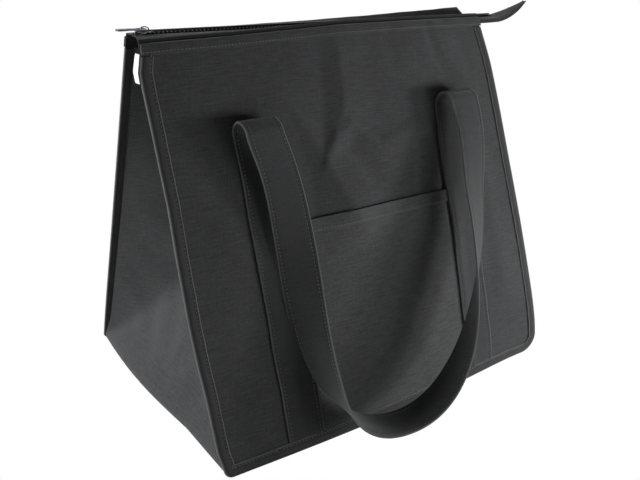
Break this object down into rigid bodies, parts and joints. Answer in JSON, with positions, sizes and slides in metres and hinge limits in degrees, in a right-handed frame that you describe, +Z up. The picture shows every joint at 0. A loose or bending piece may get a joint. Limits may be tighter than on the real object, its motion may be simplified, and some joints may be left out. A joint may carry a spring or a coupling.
{
  "type": "cooler tote bag",
  "caption": "Insulated cloth tote bag with folding side gussets, a zipped mouth with a sliding zip pull, a patch pocket and two hanging carrying handles.",
  "frame": {"origin": "centre of the underside of the base, on the plane it stands on", "axes": "+X to the bag's right as the front is faced, -Y out of the front, +Z up"},
  "size_m": [0.4131, 0.3468, 0.3053],
  "materials": {
    "outer_cloth": "charcoal plain-weave cloth with fine slubs",
    "strap_cloth": "doubled charcoal cloth strap, stitched along both edges",
    "binding_tape": "folded black binding tape",
    "foil_lining": "foil-faced closed-cell foam",
    "zip_tape": "black woven zip tape",
    "zip_teeth": "black moulded teeth",
    "slider_metal": "dark lacquered die-cast zip slider",
    "tag_cloth": "bare white satin tag"
  },
  "bodies": {
    "shell": {"base_panel": "outer_cloth", "base_liner": "foil_lining", "left_gusset": "outer_cloth", "right_gusset": "outer_cloth", "left_gusset_liner": "foil_lining", "right_gusset_liner": "foil_lining"},
    "front_wall": {"front_panel": "outer_cloth", "front_liner": "foil_lining", "front_binding": "binding_tape", "front_top_band": "outer_cloth", "front_pocket": "outer_cloth", "front_strap_left": "strap_cloth", "front_strap_right": "strap_cloth", "front_zip_tape": "zip_tape", "front_zip_teeth": "zip_teeth", "front_top_stop": "zip_teeth", "seam_tag": "tag_cloth"},
    "back_wall": {"back_panel": "outer_cloth", "back_liner": "foil_lining", "back_binding": "binding_tape", "back_top_band": "outer_cloth", "back_strap_left": "strap_cloth", "back_strap_right": "strap_cloth", "back_zip_tape": "zip_tape", "back_zip_teeth": "zip_teeth", "back_top_stop": "zip_teeth", "zip_tail": "zip_tape", "zip_bottom_stop": "zip_teeth"},
    "front_handle": {"front_handle_loop": "strap_cloth"},
    "back_handle": {"back_handle_loop": "strap_cloth"},
    "slider": {"zip_slider": "slider_metal"},
    "puller": {"zip_puller": "slider_metal"}
  },
  "joints": [
    {"name": "mouth_front", "type": "hinge", "parent": "shell", "child": "front_wall", "pos_m": [0, -0.1205, 0], "axis": [1, 0, 0], "range_deg": [0, 20]},
    {"name": "mouth_back", "type": "hinge", "parent": "shell", "child": "back_wall", "pos_m": [0, 0.1205, 0], "axis": [-1, 0, 0], "range_deg": [0, 20]},
    {"name": "zip_slide", "type": "slide", "parent": "back_wall", "child": "slider", "axis": [1, 0, 0], "range_m": [0, 0.3385]},
    {"name": "puller_swing", "type": "hinge", "parent": "slider", "child": "puller", "pos_m": [-0.1537, 0, 0.29612], "axis": [0, 1, 0], "range_deg": [0, 150]},
    {"name": "front_handle_swing", "type": "hinge", "parent": "front_wall", "child": "front_handle", "pos_m": [0, -0.04547, 0.23609], "axis": [-1, 0, 0], "range_deg": [0, 155]},
    {"name": "back_handle_swing", "type": "hinge", "parent": "back_wall", "child": "back_handle", "pos_m": [0, 0.04547, 0.23609], "axis": [1, 0, 0], "range_deg": [0, 155]}
  ],
  "couplings": [
    {"joint": "mouth_back", "follows": "mouth_front", "ratio": 1},
    {"joint": "zip_slide", "follows": "mouth_front", "m_per_rad": 0.9685}
  ]
}
